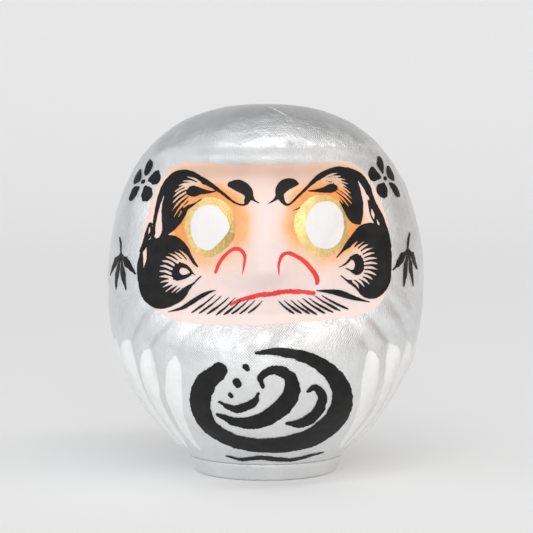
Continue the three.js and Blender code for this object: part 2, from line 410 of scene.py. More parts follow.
class Paint:
    """A painted area on a chart; its field is below zero where there is paint."""

    def __init__(self, low, high, step):
        self.u = np.arange(low[0], high[0] + step, step)
        self.v = np.arange(low[1], high[1] + step, step)
        self.grid_u, self.grid_v = np.meshgrid(self.u, self.v)
        self.field = np.full(self.grid_u.shape, FAR)

    def window(self, path, margin):
        """The rows and columns of the grid that a path comes near."""
        low = path.min(axis=0) - margin
        high = path.max(axis=0) + margin
        rows = slice(*np.searchsorted(self.v, (low[1], high[1])))
        columns = slice(*np.searchsorted(self.u, (low[0], high[0])))
        return rows, columns

    def brush(self, points):
        """The part of the grid near a stroke, and its distance from the stroke's edge."""
        path = curve(points)
        part = self.window(path, path[:, 2].max() / 2 + 1.5)
        u, v = self.grid_u[part], self.grid_v[part]
        nearest = np.full(u.shape, FAR)
        for start, end in zip(path, path[1:]):
            share, away = nearest_on(start, end, u, v)
            nearest = np.minimum(nearest, away - (start[2] + share * (end[2] - start[2])) / 2)
        return part, nearest

    def stroke(self, *points):
        part, edge = self.brush(points)
        self.field[part] = np.minimum(self.field[part], edge)

    def bare(self, *points):
        part, edge = self.brush(points)
        self.field[part] = np.maximum(self.field[part], -edge)

    def bare_hairs(self, tips, roots, count, width, bow=0.5):
        """Bare lines that run from a row of fine tips to their wider roots."""
        for index in range(count):
            share = index / (count - 1)
            tip, root = point_along(tips, share), point_along(roots, share)
            across = np.array([tip[1] - root[1], root[0] - tip[0]])
            middle = (tip + root) / 2 + bow * across / max(np.hypot(*across), 1e-6)
            self.bare((*tip, 0.25), (*middle, width), (*root, width))

    def outline(self, points):
        """A filled shape inside a smooth closed outline."""
        path = curve(points, closed=True, steps=6)
        u, v = self.grid_u, self.grid_v
        nearest = np.full(u.shape, FAR)
        inside = np.zeros(u.shape, bool)
        for start, end in zip(path, np.roll(path, -1, axis=0)):
            nearest = np.minimum(nearest, nearest_on(start, end, u, v)[1])
            du, dv = end - start
            crosses = (start[1] > v) != (end[1] > v)
            inside ^= crosses & (u < start[0] + (v - start[1]) * du / (dv if dv else 1e-9))
        self.field = np.minimum(self.field, np.where(inside, -nearest, nearest))

    def waver(self, seed, size):
        self.field = self.field + size * ripple(self.grid_u, self.grid_v, seed)

    def contour(self):
        """Points, faces and open edges of the painted area (marching squares)."""
        field = self.field
        grid = np.stack([self.grid_u, self.grid_v], axis=-1)
        wet = field < 0
        count = int(wet.sum())
        number = -np.ones(field.shape, int)
        number[wet] = np.arange(count)
        points = [grid[wet]]
        crossing = []
        for first, second in ((np.s_[:, :-1], np.s_[:, 1:]), (np.s_[:-1], np.s_[1:])):
            a, b = field[first], field[second]
            mixed = (a < 0) != (b < 0)
            # The edge of the paint stays clear of the grid's own points.
            share = np.clip(a[mixed] / (a[mixed] - b[mixed]), 0.08, 0.92)[:, None]
            start, end = grid[first][mixed], grid[second][mixed]
            points.append(start + share * (end - start))
            ids = -np.ones(mixed.shape, int)
            ids[mixed] = count + np.arange(mixed.sum())
            count += int(mixed.sum())
            crossing.append(ids)
        flat, upright = crossing
        corners = (wet[:-1, :-1], wet[:-1, 1:], wet[1:, 1:], wet[1:, :-1])
        full = corners[0] & corners[1] & corners[2] & corners[3]
        partly = (corners[0] | corners[1] | corners[2] | corners[3]) & ~full
        j, i = np.nonzero(full)
        quads = [number[j, i], number[j, i + 1], number[j + 1, i + 1], number[j + 1, i]]
        faces = np.stack(quads, axis=1).tolist()
        edges = []
        for j, i in zip(*np.nonzero(partly)):
            ring = (number[j, i], flat[j, i], number[j, i + 1], upright[j, i + 1],
                    number[j + 1, i + 1], flat[j + 1, i], number[j + 1, i], upright[j, i])
            loop = [(int(point), place % 2) for place, point in enumerate(ring) if point >= 0]
            faces.append([point for point, _ in loop])
            for (a, a_cross), (b, b_cross) in zip(loop, loop[1:] + loop[:1]):
                if a_cross and b_cross:
                    edges.append((a, b))
        return np.vstack(points), faces, edges

    def lay(self, name, chart, lift, material):
        """A thin coat on the shell, its edges turned down into the surface."""
        flat_points, faces, edges = self.contour()
        angle, z = chart(flat_points[:, 0], flat_points[:, 1])
        top = shell_point(angle, z, lift)
        rim = sorted({point for edge in edges for point in edge})
        below = {point: len(top) + place for place, point in enumerate(rim)}
        sunk = shell_point(angle[rim], z[rim], SUNK)
        walls = [(b, a, below[a], below[b]) for a, b in edges]
        piece = make_object(name, np.vstack([top, sunk]), faces + walls, material)
        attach(piece, "root")
        return piece


def revolve(name, outline, material):
    """A turned piece from an outline of (radius, z) that starts and ends on the axis."""
    steps = 144
    turns = np.arange(steps) / steps * 2 * math.pi
    points = []
    rings = []
    for radius, z in outline[1:-1]:
        rings.append(np.arange(steps) + len(rings) * steps)
        uneven = radius + 0.25 * unevenness(radius * np.cos(turns), radius * np.sin(turns),
                                            turns * 0 + z)
        ring = np.stack([uneven * np.cos(turns), uneven * np.sin(turns), turns * 0 + z], axis=1)
        points.append(ring)
    bottom, top = len(rings) * steps, len(rings) * steps + 1
    faces = revolve_rings(rings) + fan(rings[0][::-1], bottom) + fan(rings[-1], top)
    ends = [[0, 0, outline[0][1]], [0, 0, outline[-1][1]]]
    piece = make_object(name, np.vstack(points + [ends]), faces, material)
    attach(piece, "root")
    return piece


def foot(material):
    """The painted foot: a low tapered drum with a rounded shoulder and a soft lower edge."""
    top, joint = FOOT_TOP_RADIUS, JOINT_HEIGHT - 0.15
    shoulder = 0.7
    hem, hem_height = FOOT_BOTTOM_RADIUS + 0.35, 1.1
    underside, floor_height = 0.9, 3.2
    outline = [(0, underside), (hem - 2.55, underside), (hem - 1.75, 0.6), (hem - 0.95, 0.45),
               (hem - 0.35, 0.65), (hem, hem_height)]
    wall = joint - shoulder - hem_height
    for step in range(1, 6):
        outline.append((hem + (top - hem) * step / 5, hem_height + wall * step / 5))
    for step in range(1, 6):
        turn = step / 5 * math.pi / 2
        outline.append((top - shoulder + shoulder * math.cos(turn),
                        joint - shoulder + shoulder * math.sin(turn)))
    outline += [(top - 3, joint), (top - 4, floor_height), (0, floor_height)]
    piece = revolve("painted_foot", outline, material)
    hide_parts("base_dish")


# ------------------------ materials

def shader_of(material):
    return material.node_tree.nodes["Principled BSDF"]


def new_material(name, colour, roughness, metallic=0.0):
    material = bpy.data.materials.new(name)
    material.use_nodes = True
    shader = shader_of(material)
    shader.inputs["Base Color"].default_value = (*colour, 1)
    shader.inputs["Roughness"].default_value = roughness
    shader.inputs["Metallic"].default_value = metallic
    return material


def add_node(material, kind, inputs=(), **settings):
    """A new node; an input is given as (socket name or number, value or another output)."""
    made = material.node_tree.nodes.new(kind)
    for key, value in settings.items():
        setattr(made, key, value)
    for socket, value in inputs:
        if isinstance(value, bpy.types.NodeSocket):
            material.node_tree.links.new(value, made.inputs[socket])
        else:
            made.inputs[socket].default_value = value
    return made


def shader_input(material, name, output):
    """Feed one input of the material's shader from a node's output."""
    material.node_tree.links.new(output, shader_of(material).inputs[name])


def noise(material, size_mm, detail, stretch=(1, 1, 1), distortion=0.0):
    """Noise with grains of about size_mm, drawn out along the axes in stretch."""
    place = add_node(material, "ShaderNodeTexCoord").outputs["Object"]
    scale = [1 / (MM * size_mm * s) for s in stretch]
    mapped = add_node(material, "ShaderNodeMapping", [("Vector", place), ("Scale", scale)])
    made = add_node(material, "ShaderNodeTexNoise", [
        ("Vector", mapped.outputs["Vector"]), ("Scale", 1.0), ("Detail", detail),
        ("Distortion", distortion)])
    return made.outputs["Fac"]


def spread(material, value, low, high, to_low, to_high):
    """A value carried from one range to another, and held at its ends."""
    made = add_node(material, "ShaderNodeMapRange", [
        ("Value", value), ("From Min", low), ("From Max", high), ("To Min", to_low),
        ("To Max", to_high)])
    return made.outputs["Result"]


def blend_colours(material, factor, first, second):
    """A mix of two colours; the first may also be another node's output."""
    if not isinstance(first, bpy.types.NodeSocket):
        first = (*first, 1)
    made = add_node(material, "ShaderNodeMix", [(0, factor), (6, first), (7, (*second, 1))],
                    data_type="RGBA")
    return made.outputs[2]


def math_node(material, operation, *values):
    inputs = list(enumerate(values))
    return add_node(material, "ShaderNodeMath", inputs, operation=operation).outputs[0]


def bumps(material, layers):
    """Bump layers, each (height output, depth in mm); they stack on the shader's normal."""
    normal = None
    for height, depth in layers:
        inputs = [("Height", height), ("Distance", depth * MM), ("Strength", 1.0)]
        if normal is not None:
            inputs.append(("Normal", normal))
        normal = add_node(material, "ShaderNodeBump", inputs).outputs["Normal"]
    shader_input(material, "Normal", normal)


def slanted_fibres(material):
    """Short slanting brush marks and paper fibres, in two crossing directions."""
    place = add_node(material, "ShaderNodeTexCoord").outputs["Object"]
    heights = []
    for turn in (0.75, -0.6):
        mapped = add_node(material, "ShaderNodeMapping", [
            ("Vector", place), ("Rotation", (0, turn, 0)), ("Scale", (2200, 1500, 260))])
        heights.append(add_node(material, "ShaderNodeTexNoise", [
            ("Vector", mapped.outputs["Vector"]), ("Scale", 1.0), ("Detail", 2.0)]).outputs["Fac"])
    return math_node(material, "MAXIMUM", *heights)


def silver_paint(name):
    """Silver paint brushed on pulp paper that was pressed on a wire screen."""
    material = new_material(name, (0.78, 0.785, 0.79), 0.42, 0.8)
    cloudy = noise(material, 16, 4)
    colour = blend_colours(material, spread(material, cloudy, 0.3, 0.7, 0, 1),
                           (0.78, 0.785, 0.79), (0.87, 0.875, 0.88))
    shader_input(material, "Base Color", colour)
    grain = noise(material, 1.1, 4)
    pulp = noise(material, 3.6, 5)
    fibres = slanted_fibres(material)
    shader_input(material, "Roughness", spread(material, pulp, 0.3, 0.7, 0.32, 0.44))
    uv = add_node(material, "ShaderNodeUVMap", uv_map="cloth").outputs["UV"]
    apart = add_node(material, "ShaderNodeSeparateXYZ", [("Vector", uv)])
    u, v = apart.outputs["X"], apart.outputs["Y"]
    screen = math_node(material, "MULTIPLY", math_node(material, "SINE", u),
                       math_node(material, "SINE", v))
    patchy = spread(material, noise(material, 11, 2), 0.42, 0.62, 0, 1)
    pressed = add_node(material, "ShaderNodeAttribute", attribute_name="screen").outputs["Fac"]
    screen = math_node(material, "MULTIPLY", math_node(material, "MULTIPLY", screen, patchy),
                       pressed)
    bumps(material, ((pulp, 0.42), (grain, 0.2), (fibres, 0.28), (screen, 0.17)))
    return material


def skin_paint():
    """Pale pink paint with orange misted round the eyes and along the brow."""
    material = new_material("skin_paint", (0.955, 0.80, 0.77), 0.62)
    mist = add_node(material, "ShaderNodeAttribute", attribute_name="mist").outputs["Fac"]
    streaks = noise(material, 2.2, 4, (1, 1, 2.4), 0.6)
    cloud = noise(material, 7, 3)
    uneven = math_node(material, "ADD", spread(material, streaks, 0.3, 0.7, 0.86, 1.12),
                       spread(material, cloud, 0.3, 0.7, -0.12, 0.12))
    amount = math_node(material, "MULTIPLY", mist, uneven)
    ramp = add_node(material, "ShaderNodeValToRGB", [("Fac", amount)])
    stops = ((0.0, (0.88, 0.715, 0.675)), (0.28, (0.92, 0.63, 0.48)),
             (0.6, (0.95, 0.47, 0.215)), (1.0, (0.93, 0.33, 0.085)))
    elements = ramp.color_ramp.elements
    for index, (place, colour) in enumerate(stops):
        element = elements[index] if index < 2 else elements.new(place)
        element.position = place
        element.color = (*colour, 1)
    shader_input(material, "Base Color", ramp.outputs["Color"])
    shader_input(material, "Roughness", spread(material, cloud, 0.3, 0.7, 0.55, 0.7))
    bumps(material, ((noise(material, 3.6, 5), 0.14), (noise(material, 0.9, 3), 0.04)))
    return material


def coat(name, colour, other, roughness, grain_mm, depth):
    """A coat of one paint, thin in places where the brush ran dry."""
    material = new_material(name, colour, roughness)
    cloud = noise(material, 5 * grain_mm, 4)
    shader_input(material, "Base Color", blend_colours(
        material, spread(material, cloud, 0.35, 0.7, 0, 1), colour, other))
    shader_input(material, "Roughness", spread(material, cloud, 0.3, 0.7, roughness - 0.08,
                                               roughness + 0.08))
    bumps(material, ((noise(material, 4 * grain_mm, 4), depth), (noise(material, grain_mm, 3),
                                                               depth / 3)))
    return material


def gold_leaf(name, crumple_mm):
    """Gold leaf with brush lines and dark flecks, darkened by painted shade that a point attribute
    carries.
    """
    material = new_material(name, (0.95, 0.74, 0.38), 0.4, 0.65)
    crumple = noise(material, crumple_mm, 5, (1, 1, 1), 1.2)
    lines = noise(material, 0.6, 3, (1, 1, 5), 0.4)
    specks = spread(material, noise(material, 0.9, 3), 0.66, 0.72, 0, 0.7)
    painted_shade = add_node(material, "ShaderNodeAttribute", attribute_name="painted_shade").outputs["Fac"]
    colour = blend_colours(material, spread(material, crumple, 0.35, 0.65, 0, 1),
                           (0.86, 0.60, 0.22), (1.0, 0.76, 0.35))
    # Painted shade on the ring's right side, together with the brush lines, darkens the leaf towards
    # brown.
    shade_and_lines = math_node(material, "ADD", painted_shade, spread(material, lines, 0.3, 0.7, -0.22, 0.22))
    colour = blend_colours(material, spread(material, shade_and_lines, 0.2, 1.1, 0, 1), colour,
                           (0.43, 0.30, 0.09))
    colour = blend_colours(material, specks, colour, (0.30, 0.19, 0.06))
    shader_input(material, "Base Color", colour)
    shader_input(material, "Roughness", spread(material, crumple, 0.3, 0.7, 0.46, 0.3))
    bumps(material, ((crumple, 0.16), (lines, 0.05)))
    return material


silver = silver_paint("silver_paint")
skin = skin_paint()
ink = coat("ink", (0.009, 0.0085, 0.0085), (0.018, 0.017, 0.0165), 0.5, 1.1, 0.05)
shader_of(ink).inputs["Specular IOR Level"].default_value = 0.2
red = coat("red_paint", (0.79, 0.03, 0.03), (0.83, 0.065, 0.05), 0.5, 0.9, 0.06)
white = coat("white_paint", (0.84, 0.815, 0.795), (0.87, 0.845, 0.825), 0.6, 1.2, 0.05)
stripe_white = coat("stripe_white", (0.94, 0.935, 0.93), (0.88, 0.88, 0.875), 0.6, 1.0, 0.06)


def dress(node, material):
    """Give a CAD node a material of its own."""
    for material_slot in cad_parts[node].material_slots:
        material_slot.material = material


dress("clay_weight", coat("raw_clay", (0.36, 0.25, 0.17), (0.46, 0.34, 0.25), 0.85, 1.6, 0.3))
dress("glue_ring", coat("dried_glue", (0.55, 0.40, 0.20), (0.68, 0.53, 0.30), 0.35, 1.0, 0.12))
dress("bottom_paper", coat("grey_paper", (0.52, 0.49, 0.44), (0.62, 0.59, 0.54), 0.8, 0.8, 0.15))


# ------------------------ the shell and its paint

body_shell(silver)
foot(silver_paint("foot_paint"))

LEFT_EYE = (-23.4, 116.3)
RIGHT_EYE = (24.8, 117.2)

# Puffs of orange by each eye: amount, place outward and up from the eye, half width and height.
EYE_PUFFS = ((0.62, 13.5, -1, 5.5, 10), (0.31, -12, 1, 5.5, 12), (0.55, -1, 14, 13, 4.5),
             (0.14, 4, -15, 15, 6), (0.16, 12, 26, 14, 3.5))


def mist_amount(x, z):
    """How much orange is sprayed at a place on the face."""
    total = np.zeros(np.shape(x))
    for eye_x, eye_z, outward in ((*LEFT_EYE, -1), (*RIGHT_EYE, 1)):
        across, up = x - eye_x, z - eye_z
        reach = np.hypot(across / 12.2, up / 13.4)
        below = 0.5 - 0.5 * np.tanh((up + 8) / 4)
        halo = np.exp(-(np.maximum(reach - 1, 0) / 0.42) ** 2) * (1 - 0.5 * below)
        outer = 0.5 + 0.5 * np.tanh(across * outward / 8)
        above = 0.5 + 0.5 * np.tanh(up / 7)
        total = total + halo * (0.42 + 0.36 * outer + 0.22 * above)
        for amount, out, above_eye, half_width, half_height in EYE_PUFFS:
            total = total + amount * bump((across - out * outward) / half_width,
                                          (up - above_eye) / half_height)
    total = total + 0.24 * bump(x / 60, (z - 141.5) / 4)
    total = total + 0.2 * bump((np.abs(x) - 52) / 6, (z - 128) / 16)
    return np.clip(total, 0, 1)


def face_panel():
    """The pink of the face, which carries the orange mist as a value at each point."""
    panel = Paint((-60, 68), (60, 150), 0.7)
    panel.outline((
        (-28, 145), (-15, 143.8), (2, 144), (20, 145), (31, 145.7), (39, 144), (45.5, 138.3),
        (50.5, 129), (54, 118), (56, 103), (55, 92), (50.5, 82), (41, 77.3), (20, 75.7),
        (-5, 74.3), (-28, 74.2), (-42, 76.6), (-51.5, 82), (-55.3, 91), (-55.2, 104),
        (-53.3, 118), (-49, 132), (-42.5, 141.5), (-36, 144.6)))
    panel.waver(11, 0.8)
    piece = panel.lay("face_panel", front_chart, LIFT_SKIN, skin)
    places = places_mm(piece)
    add_attribute(piece, "mist", mist_amount(places[:, 0], places[:, 2]))


def lay_ink(area, name, seed, waver=0.45, lift=LIFT_INK, chart=front_chart):
    area.waver(seed, waver)
    area.lay(name, chart, lift, ink)


def eye(side, ring, hole, shade, leaf):
    """A gilt ring round a blank white eye; shade says how strong the painted shade on its right side
    is.
    """
    low = np.min(ring, axis=0) - 2
    high = np.max(ring, axis=0) + 2
    seed = 21 if side == "left" else 22
    white_area = Paint(low, high, 0.3)
    white_area.outline(hole)
    white_area.waver(seed, 0.6)
    gilt = Paint(low, high, 0.3)
    gilt.outline(ring)
    gilt.waver(seed + 2, 0.8)
    gilt.field = np.maximum(gilt.field, -(white_area.field + LEAF_OVERLAP))
    ring_piece = gilt.lay("gold_ring_" + side, front_chart, LIFT_LEAF, leaf)
    places = places_mm(ring_piece)
    middle = (low + high) / 2
    turn = np.arctan2(places[:, 2] - middle[1], places[:, 0] - middle[0])
    # Painted shade: the leaf is darkened towards the ring's right side, most on the left eye.
    add_attribute(ring_piece, "painted_shade", shade * (0.5 + 0.5 * np.cos(turn + 0.3)) ** 1.5)
    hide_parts("gilt_ring_" + side)
    white_area.lay("eye_white_" + side, front_chart, LIFT_WHITE, white)


def left_brow():
    """The brow with its bare hairs, the links below it, the lid and the inner comma."""
    brow = Paint((-58, 101), (1, 146), 0.3)
    brow.stroke((-50, 109, 1.5), (-48, 113, 5), (-44.5, 118, 10.5), (-41.5, 124.5, 14.2),
                (-40, 131.5, 12.8), (-37.5, 136.5, 9.2), (-33, 138.5, 5), (-28.5, 137, 3.2),
                (-24.5, 135.2, 2.2), (-19, 131.5, 1.4), (-13.5, 127.5, 0.9), (-10, 126.4, 0.8),
                (-8.2, 127.3, 1.4), (-7.6, 129.5, 2.4))
    brow.bare((-45, 129.5, 0.2), (-46.4, 124.5, 1.1), (-47, 119.5, 2.2), (-47.2, 115.5, 3.2),
              (-47.6, 112.6, 2.4), (-49.8, 109, 0.3))
    brow.bare_hairs([(-34.5, 138.2), (-39, 133.5), (-41.5, 126.5), (-40, 119.5), (-36.5, 122.5)],
                    [(-28.5, 135.6), (-33.5, 134.5), (-34.2, 131), (-33.5, 127.5), (-33.2, 125.6)],
                    10, 0.95)
    brow.stroke((-36, 123.6, 2), (-32, 126, 1), (-28, 128.6, 0.2))
    brow.stroke((-51, 117, 1.6), (-52, 113, 2.6), (-53, 109, 2.8), (-55, 105, 1.6))
    for height, length in ((114.3, 1.5), (110.3, 0.6), (106.6, 1.4)):
        brow.bare((-51.3, height + length, 0.3), (-51.4, height, 0.8), (-51.7, height - length, 0.3))
    brow.stroke((-21.3, 132.1, 0.2), (-25, 131.8, 1.3), (-28.5, 132, 2.8), (-31.6, 132, 4.6),
                (-33.4, 131.6, 3))
    brow.stroke((-15.2, 135.1, 2.6), (-12, 134.8, 5), (-9, 133.3, 5), (-7.2, 130.8, 3.8),
                (-8.2, 127.6, 2))
    brow.stroke((-6.6, 130.2, 2.6), (-4.9, 128.5, 1), (-2.6, 127.2, 0.2))
    lay_ink(brow, "brow_left", 31)


def right_brow():
    """As the left brow, with its own hand-drawn differences."""
    brow = Paint((-1, 112), (58, 147), 0.3)
    brow.stroke((41.5, 117.8, 1.5), (39.8, 121, 6.5), (38.6, 126, 9.5), (37.6, 130.5, 11.5),
                (36, 135.3, 11.5), (32.5, 138.8, 8.2), (27.5, 138.9, 5.4), (23.5, 138.2, 2.6),
                (19, 134.5, 1.4), (14.5, 130.3, 1.1), (10.5, 126.7, 0.8), (8.2, 127.2, 1.4),
                (6.8, 130, 2.6))
    brow.bare_hairs([(31.8, 140), (35.6, 136.6), (38, 130.5), (38.1, 125.2), (34.5, 126)],
                    [(24.8, 137), (29.2, 136.3), (31.2, 134), (30.8, 131.5), (29.7, 130.4)],
                    10, 0.95, -0.5)
    brow.stroke((36, 140.5, 4), (41, 137.5, 5), (44.3, 133, 4.6), (46.4, 128.5, 3.4),
                (48.1, 123.5, 4.6), (50.5, 118.5, 5), (52.5, 114.8, 2))
    brow.bare((40.6, 137, 0.2), (42.4, 133.5, 1.3), (43.7, 130, 2.3), (44.5, 126, 2.1),
              (45, 122, 2.2), (44.8, 118.6, 3.4))
    for top, bottom, width in (((45.1, 130), (46, 127.3), 0.8), ((47, 124), (48.2, 119), 1.4),
                               ((49.2, 119.5), (50.9, 115.3), 0.9)):
        middle = ((top[0] + bottom[0]) / 2, (top[1] + bottom[1]) / 2)
        brow.bare((*top, 0.3), (*middle, width), (*bottom, 0.3))
    brow.stroke((18.7, 132.4, 0.2), (22, 132.4, 1.2), (25.5, 132.6, 2.2), (28.8, 133.3, 3.8),
                (30.5, 133.4, 2.6))
    brow.stroke((14.3, 135.5, 1), (11.5, 135.8, 4), (8.2, 134.6, 5.2), (6.2, 131.5, 3.8),
                (7.5, 128, 2))
    brow.stroke((5.5, 130.2, 2.2), (3.8, 128.5, 0.9), (1.2, 127, 0.2))
    brow.stroke((12, 124, 0.2), (13.5, 124.5, 0.45), (15, 125.2, 0.4))
    lay_ink(brow, "brow_right", 32)


def left_beard():
    beard = Paint((-60, 77), (-25, 119), 0.3)
    beard.stroke((-29.3, 99, 0.3), (-33, 102.8, 2.6), (-37, 106, 6.8), (-42.5, 106.3, 12.5),
                 (-48.3, 100.5, 15.6), (-48.8, 93, 15.5), (-47, 87.3, 14), (-39.5, 87.6, 9),
                 (-34.5, 90.5, 3.8), (-31, 92.6, 1), (-28, 95.2, 0.3))
    beard.stroke((-38.7, 97, 8.5), (-35.5, 97, 6), (-32.2, 96.6, 1))
    beard.stroke((-49.5, 110.5, 2), (-52, 107.5, 3), (-54.2, 103, 3.4))
    beard.bare((-36.2, 97, 3.2), (-34.8, 97, 2.4), (-33.1, 96.6, 0.5))
    beard.stroke((-32.8, 97.3, 0.9), (-31.6, 96.2, 0.5), (-30.2, 95.4, 0.2))
    beard.bare_hairs([(-38, 106.4), (-43, 104.2), (-46.3, 100), (-46.8, 94), (-45, 88.5),
                      (-41.5, 87), (-39.3, 87.3)],
                     [(-32.4, 100.6), (-36.5, 101.2), (-40.3, 99.6), (-41.6, 95.5), (-39.8, 92.6),
                      (-34.5, 92.9), (-31.2, 93.2)], 13, 1.2)
    beard.bare((-52.8, 108.7, 0.3), (-53.3, 105, 1.7), (-53.4, 101.5, 1.6), (-53.9, 97.8, 0.3))
    lay_ink(beard, "beard_left", 33, lift=LIFT_BEARD)


def right_beard():
    beard = Paint((28, 81), (60, 120), 0.3)
    beard.stroke((31.2, 103.2, 0.3), (34.8, 107, 1.5), (38.8, 109.9, 4.8), (46.3, 111, 13.5),
                 (49.5, 104.5, 12.6), (49.8, 98.5, 12), (49, 93, 12.5), (46.3, 89.8, 10.5),
                 (41.5, 91, 5), (36.5, 92.6, 1.2), (33, 95.3, 0.3))
    beard.stroke((52.5, 117.5, 1.5), (53.6, 112.5, 2.6), (54.6, 107, 2.6))
    beard.stroke((37.5, 102.8, 1.2), (40.2, 102.6, 3.6), (41.6, 99.8, 4.4), (40.5, 97, 3.6),
                 (38, 96.8, 1))
    beard.stroke((37.8, 102.8, 1.2), (35.1, 100.3, 0.7), (32, 98.8, 0.2))
    beard.stroke((38.6, 96.8, 1), (35.1, 98.4, 0.2))
    beard.bare_hairs([(41.3, 110.4), (46.3, 108.4), (49, 103.5), (49.6, 97), (47.5, 92.3),
                      (43.5, 89.6), (41.3, 89)],
                     [(36.6, 105.2), (40, 104.9), (43.3, 102.4), (43.8, 97.5), (41.8, 94.4),
                      (39.6, 93.4), (38.4, 92.6)], 13, 1.15, -0.4)
    lay_ink(beard, "beard_right", 34, lift=LIFT_BEARD)


def whiskers(side, thick, starts, ends, weight, seed):
    """One thick moustache stroke over a row of eight thin slanting ones."""
    tip = thick[-1][0]
    area = Paint((min(tip, 0) - 3, 74), (max(tip, 0) + 3, 92), 0.3)
    area.stroke(*thick)
    draws = np.random.default_rng(seed)
    for index in range(8):
        start, end = point_along(starts, index / 7), point_along(ends, index / 7)
        start = start + draws.uniform(-0.3, 0.3, 2)
        end = end + draws.uniform(-0.3, 0.3, 2)
        third = start + (end - start) * 0.35 - (0, 0.4)
        wide = start + (end - start) * 0.75 - (0, 0.3)
        area.stroke((*start, 0.2), (*third, 0.65 * weight),
                    (*wide, draws.uniform(0.85, 1.05) * weight), (*end, 0.6))
    lay_ink(area, "moustache_" + side, seed + 1, 0.4, LIFT_WHISKERS)


def red_line(name, low, high, seed, waver, *points):
    area = Paint(low, high, 0.3)
    area.stroke(*points)
    area.waver(seed, waver)
    area.lay(name, front_chart, LIFT_RED, red)


# Each pleat stripe is a tapering stroke, with these heights and widths down its rows.
STRIPE_ROWS = (64, 58, 50, 41, 31, 21, 14)
STRIPE_WIDTHS = (0.4, 8.5, 11, 12, 11, 8.5, 0.8)


def pleat_stripes(side, petals, seed):
    """White petals, each (angles from top to bottom, how much lower its top is, width share)."""
    sign = -1 if side == "left" else 1
    area = Paint((min(sign * 125, 0), 8), (max(sign * 125, 0), 68), 0.45)
    top, bottom = STRIPE_ROWS[0], STRIPE_ROWS[-1]
    for angles, drop, share in petals:
        rows = []
        for degrees, height, width in zip(angles, STRIPE_ROWS, STRIPE_WIDTHS):
            along_girth = sign * math.radians(degrees) * BODY_WIDTH / 2
            lowered = height - drop * (height - bottom) / (top - bottom)
            rows.append((along_girth, lowered, width * share))
        area.stroke(*rows)
    area.waver(seed, 1.2)
    area.lay("pleat_stripes_" + side, wrap_chart(0), LIFT_WHITE, stripe_white)


def belly_motif():
    """A broad brushed ring round a curling wave, with drops in it and a long dash below."""
    area = Paint((-36, 6), (42, 68), 0.35)
    area.stroke((-20, 55, 7), (-26.5, 48, 9.5), (-28.5, 38, 9), (-24, 27.5, 7.5),
                (-11.5, 20.6, 7.2), (5, 19.2, 8.2), (20.5, 22.8, 10), (31, 31.5, 10.5),
                (33.8, 42.5, 9), (29, 53, 7), (18.5, 60.5, 5.2), (6, 63.5, 3.6), (-4, 63.2, 1.2))
    area.stroke((-21, 34.5, 1.5), (-12.5, 31.2, 4.4), (-3, 31.8, 6.8), (6, 37.4, 8),
                (11.3, 45.2, 7.4), (10.2, 52.8, 5.2), (3.5, 55.5, 4), (-2, 52.5, 3), (-1, 48, 1.6))
    area.stroke((9.5, 30.6, 1.4), (16, 30.6, 4.4), (22.3, 35, 5), (25, 42, 4.2), (22, 47, 3),
                (18.5, 45.5, 1.4))
    area.stroke((-20, 40.5, 1), (-13, 37.5, 3.2), (-5.5, 40.5, 3.6), (-3, 45, 1))
    for place, size in (((-12.5, 50), 3.6), ((-8.5, 57), 2.6), ((-15.5, 44.5), 1.8)):
        area.stroke((*place, size), (place[0] + 0.8, place[1] - 1.2, size * 0.8))
    area.stroke((-17.5, 12.4, 0.5), (-11, 10.9, 1.8), (-3.5, 12.2, 2.2), (4, 11.4, 2.4),
                (12, 10.6, 2), (20, 12.2, 1.4), (26, 13.2, 0.4))
    lay_ink(area, "belly_motif", 51, 1.3)


def blossom(side, degrees, height):
    """Five plum petals in ink round a bare heart with one dot."""
    area = Paint((-14, -12), (14, 12), 0.35)
    for index in range(5):
        turn = math.radians(90 + 72 * index)
        u, v = 1.35 * math.cos(turn), math.sin(turn)
        area.stroke((3.4 * u, 3.4 * v, 2), (6.4 * u, 6.4 * v, 6.2), (7 * u, 7 * v, 5.6))
        turn += math.radians(36)
        u, v = 1.35 * math.cos(turn), math.sin(turn)
        area.bare((2.6 * u, 2.6 * v, 0.8), (9.5 * u, 9.5 * v, 0.8))
    area.stroke((-0.6, 0, 1.6), (0.6, 0.2, 1.6))
    seed = 61 if side == "left" else 62
    lay_ink(area, "blossom_" + side, seed, 1.4, chart=wrap_chart(degrees, height))


def bamboo(side, degrees, height):
    """A sprig of bamboo: four leaves that hang from a short stem."""
    sign = -1 if side == "left" else 1
    area = Paint((-17, -14), (17, 14), 0.35)
    for middle, tip, width in (((-7, 1.5), (-14, -3.5), 3.8), ((-3.5, -3.5), (-6.5, -11), 4.4),
                               ((3, -4), (4.5, -12), 4.2), ((7, 0.5), (13, -5.5), 3.8)):
        area.stroke((0, 5.5, 0.6), (sign * middle[0] * 0.5, (middle[1] + 5) / 2, 2),
                    (sign * middle[0], middle[1], width), (sign * tip[0], tip[1], 0.2))
    area.stroke((0, 5.5, 1), (sign * 1.5, 9, 1.6), (sign * 4.5, 12, 1))
    seed = 63 if side == "left" else 64
    lay_ink(area, "bamboo_" + side, seed, 1.4, chart=wrap_chart(degrees, height))


def lip_pips():
    """Small blobs of silver where paint gathered on the hood's lip."""
    area = Paint((-16, 148), (44, 156), 0.2)
    for x, z, size in ((-11, 151.4, 1.0), (2, 151.2, 1.3), (14, 151.4, 1.0), (40, 149.8, 1.2)):
        area.stroke((x - 0.3, z, size), (x + 0.4, z + 0.1, size * 0.8))
    area.lay("lip_pips", front_chart, LIFT_PIPS, silver)


def crown_thread():
    """A pale thread of pulp that dried across the crown."""
    area = Paint((3, 164), (24, 169.6), 0.12)
    area.stroke((6.5, 168.95, 0.15), (10.5, 168.5, 0.35), (15.3, 167.4, 0.4),
                (19.4, 166.1, 0.35), (21, 165.2, 0.15))
    area.waver(91, 0.5)
    area.lay("crown_thread", wrap_chart(0), LIFT_WHITE, stripe_white)


